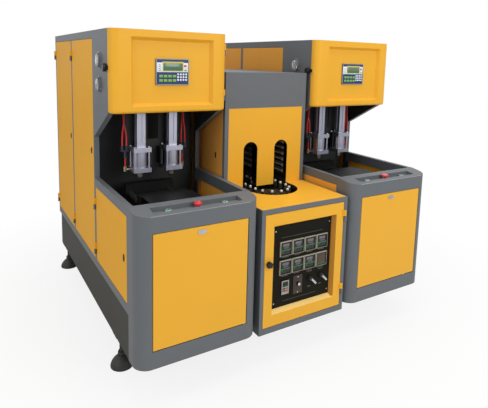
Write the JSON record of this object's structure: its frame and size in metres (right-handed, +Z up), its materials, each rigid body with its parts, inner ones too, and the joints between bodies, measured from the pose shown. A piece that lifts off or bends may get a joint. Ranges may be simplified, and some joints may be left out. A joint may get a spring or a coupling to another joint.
{
  "type": "blow moulding machine",
  "caption": "Semi-automatic stretch blow moulding machine: moulding units with clamp, blow cylinders and hood on both sides of a preform heater with an oven and a chain conveyor.",
  "frame": {"origin": "on the floor under the middle of the machine", "axes": "+Z up, -Y towards the operator, +X to the right as seen from the operator"},
  "size_m": [1.8495, 1.7723, 1.68],
  "materials": {
    "grey_paint": "satin",
    "yellow_paint": "satin",
    "dark_base": "satin",
    "black_steel": "satin",
    "steel": "satin",
    "bright_steel": "polished",
    "aluminium": "satin",
    "air_hose": "satin",
    "fitting": "satin",
    "gauge": "polished",
    "green_button": "gloss",
    "red_button": "gloss",
    "black_plastic": "satin",
    "terminal": "satin",
    "control_plate": "satin",
    "instrument": "satin",
    "lamp_glass": "polished",
    "reflector": "polished",
    "mandrel": "satin",
    "chain": "satin"
  },
  "bodies": {
    "frame": {"air_hoses": "air_hose", "arch_panel": "yellow_paint", "base_frames": "dark_base", "blow_cylinders": "aluminium", "clamp_cylinders": "black_steel", "clamp_frames": "black_steel", "clamp_tie_bars": "bright_steel", "conveyor_bed": "dark_base", "conveyor_chain": "chain", "conveyor_motor": "steel", "cylinder_brackets": "aluminium", "heater_cabinet": "grey_paint", "heater_table": "yellow_paint", "hose_fittings": "fitting", "infrared_lamps": "lamp_glass", "inner_side_panels": "yellow_paint", "lamp_reflectors": "reflector", "left_cabinet": "grey_paint", "left_front_housing": "grey_paint", "levelling_feet": "steel", "oven_side_panels": "yellow_paint", "oven_tower": "grey_paint", "preform_mandrels": "mandrel", "pressure_gauges": "gauge", "right_cabinet": "grey_paint", "right_front_housing": "grey_paint", "stretch_cylinders": "aluminium"},
    "left_front_door": {"left_front_door": "yellow_paint"},
    "left_middle_door": {"left_middle_door": "yellow_paint"},
    "left_rear_door": {"left_rear_door": "yellow_paint"},
    "left_hood": {"left_hood": "yellow_paint", "left_terminal": "terminal"},
    "left_front_panel": {"left_front_panel": "yellow_paint"},
    "left_moving_platen": {"left_moving_platen": "black_steel"},
    "left_blow_nozzles": {"left_blow_nozzles": "bright_steel"},
    "left_stretch_rods": {"left_stretch_rods": "bright_steel"},
    "left_start_button_a": {"left_start_button_a": "green_button"},
    "left_start_button_b": {"left_start_button_b": "green_button"},
    "left_emergency_stop": {"left_emergency_stop": "red_button"},
    "right_front_door": {"right_front_door": "yellow_paint"},
    "right_middle_door": {"right_middle_door": "yellow_paint"},
    "right_rear_door": {"right_rear_door": "yellow_paint"},
    "right_hood": {"right_hood": "yellow_paint", "right_terminal": "terminal"},
    "right_front_panel": {"right_front_panel": "yellow_paint"},
    "right_moving_platen": {"right_moving_platen": "black_steel"},
    "right_blow_nozzles": {"right_blow_nozzles": "bright_steel"},
    "right_stretch_rods": {"right_stretch_rods": "bright_steel"},
    "right_start_button_a": {"right_start_button_a": "green_button"},
    "right_start_button_b": {"right_start_button_b": "green_button"},
    "right_emergency_stop": {"right_emergency_stop": "red_button"},
    "heater_door": {"heater_door": "yellow_paint", "control_plate": "control_plate", "temperature_controllers": "instrument"},
    "heater_door_knob": {"heater_door_knob": "black_plastic"},
    "heater_switch_a": {"heater_switch_a": "bright_steel"},
    "heater_switch_b": {"heater_switch_b": "bright_steel"},
    "speed_knob": {"speed_knob": "bright_steel"},
    "front_sprocket": {"front_sprocket": "chain"},
    "rear_sprocket": {"rear_sprocket": "chain"}
  },
  "joints": [
    {"name": "left_front_door_swing", "type": "hinge", "parent": "frame", "child": "left_front_door", "pos_m": [-0.915, -0.2055, 0.66], "axis": [0, 0, -1], "range_deg": [0, 110]},
    {"name": "left_middle_door_swing", "type": "hinge", "parent": "frame", "child": "left_middle_door", "pos_m": [-0.915, 0.3355, 1.0485], "axis": [0, 0, -1], "range_deg": [0, 110]},
    {"name": "left_rear_door_swing", "type": "hinge", "parent": "frame", "child": "left_rear_door", "pos_m": [-0.915, 0.8675, 1.0485], "axis": [0, 0, -1], "range_deg": [0, 110]},
    {"name": "left_hood_swing", "type": "hinge", "parent": "frame", "child": "left_hood", "pos_m": [-0.291, -0.4725, 1.481], "axis": [0, 0, 1], "range_deg": [0, 90]},
    {"name": "left_front_panel_tilt", "type": "hinge", "parent": "frame", "child": "left_front_panel", "pos_m": [-0.603, -0.8745, 0.292], "axis": [1, 0, 0], "range_deg": [0, 60]},
    {"name": "left_clamp_opening", "type": "slide", "parent": "frame", "child": "left_moving_platen", "axis": [0, -1, 0], "range_m": [0, 0.105]},
    {"name": "left_nozzle_stroke", "type": "slide", "parent": "frame", "child": "left_blow_nozzles", "axis": [0, 0, -1], "range_m": [0, 0.06]},
    {"name": "left_stretch_stroke", "type": "slide", "parent": "frame", "child": "left_stretch_rods", "axis": [0, 0, -1], "range_m": [0, 0.25]},
    {"name": "left_start_button_a_press", "type": "slide", "parent": "frame", "child": "left_start_button_a", "axis": [0, 0, -1], "range_m": [0, 0.004], "stiffness_N_per_m": 300, "springref_m": -0.003},
    {"name": "left_start_button_b_press", "type": "slide", "parent": "frame", "child": "left_start_button_b", "axis": [0, 0, -1], "range_m": [0, 0.004], "stiffness_N_per_m": 300, "springref_m": -0.003},
    {"name": "left_emergency_stop_press", "type": "slide", "parent": "frame", "child": "left_emergency_stop", "axis": [0, 0, -1], "range_m": [0, 0.005], "stiffness_N_per_m": 400, "springref_m": -0.004},
    {"name": "right_front_door_swing", "type": "hinge", "parent": "frame", "child": "right_front_door", "pos_m": [0.915, -0.2055, 0.66], "axis": [0, 0, 1], "range_deg": [0, 110]},
    {"name": "right_middle_door_swing", "type": "hinge", "parent": "frame", "child": "right_middle_door", "pos_m": [0.915, 0.3355, 1.0485], "axis": [0, 0, 1], "range_deg": [0, 110]},
    {"name": "right_rear_door_swing", "type": "hinge", "parent": "frame", "child": "right_rear_door", "pos_m": [0.915, 0.8675, 1.0485], "axis": [0, 0, 1], "range_deg": [0, 110]},
    {"name": "right_hood_swing", "type": "hinge", "parent": "frame", "child": "right_hood", "pos_m": [0.915, -0.4725, 1.481], "axis": [0, 0, 1], "range_deg": [0, 90]},
    {"name": "right_front_panel_tilt", "type": "hinge", "parent": "frame", "child": "right_front_panel", "pos_m": [0.603, -0.8745, 0.292], "axis": [1, 0, 0], "range_deg": [0, 60]},
    {"name": "right_clamp_opening", "type": "slide", "parent": "frame", "child": "right_moving_platen", "axis": [0, -1, 0], "range_m": [0, 0.105]},
    {"name": "right_nozzle_stroke", "type": "slide", "parent": "frame", "child": "right_blow_nozzles", "axis": [0, 0, -1], "range_m": [0, 0.06]},
    {"name": "right_stretch_stroke", "type": "slide", "parent": "frame", "child": "right_stretch_rods", "axis": [0, 0, -1], "range_m": [0, 0.25]},
    {"name": "right_start_button_a_press", "type": "slide", "parent": "frame", "child": "right_start_button_a", "axis": [0, 0, -1], "range_m": [0, 0.004], "stiffness_N_per_m": 300, "springref_m": -0.003},
    {"name": "right_start_button_b_press", "type": "slide", "parent": "frame", "child": "right_start_button_b", "axis": [0, 0, -1], "range_m": [0, 0.004], "stiffness_N_per_m": 300, "springref_m": -0.003},
    {"name": "right_emergency_stop_press", "type": "slide", "parent": "frame", "child": "right_emergency_stop", "axis": [0, 0, -1], "range_m": [0, 0.005], "stiffness_N_per_m": 400, "springref_m": -0.004},
    {"name": "heater_door_swing", "type": "hinge", "parent": "frame", "child": "heater_door", "pos_m": [0.26, -0.8685, 0.504], "axis": [0, 0, 1], "range_deg": [0, 100]},
    {"name": "heater_door_knob_turn", "type": "hinge", "parent": "heater_door", "child": "heater_door_knob", "pos_m": [-0.233, -0.8625, 0.548], "axis": [0, 1, 0], "range_deg": [0, 90]},
    {"name": "heater_switch_a_turn", "type": "hinge", "parent": "heater_door", "child": "heater_switch_a", "pos_m": [0.052, -0.8375, 0.402], "axis": [0, 1, 0], "range_deg": [-90, 0]},
    {"name": "heater_switch_b_turn", "type": "hinge", "parent": "heater_door", "child": "heater_switch_b", "pos_m": [0.126, -0.8375, 0.405], "axis": [0, 1, 0], "range_deg": [-90, 0]},
    {"name": "speed_knob_turn", "type": "hinge", "parent": "heater_door", "child": "speed_knob", "pos_m": [-0.026, -0.8375, 0.39], "axis": [0, 1, 0], "range_deg": [0, 270]},
    {"name": "front_sprocket_spin", "type": "hinge", "parent": "frame", "child": "front_sprocket", "pos_m": [0, -0.5225, 0.786], "axis": [0, 0, 1], "continuous": true},
    {"name": "rear_sprocket_spin", "type": "hinge", "parent": "frame", "child": "rear_sprocket", "pos_m": [0, 0.12972, 0.786], "axis": [0, 0, 1], "continuous": true}
  ],
  "couplings": [
    {"joint": "rear_sprocket_spin", "follows": "front_sprocket_spin", "ratio": 1}
  ]
}
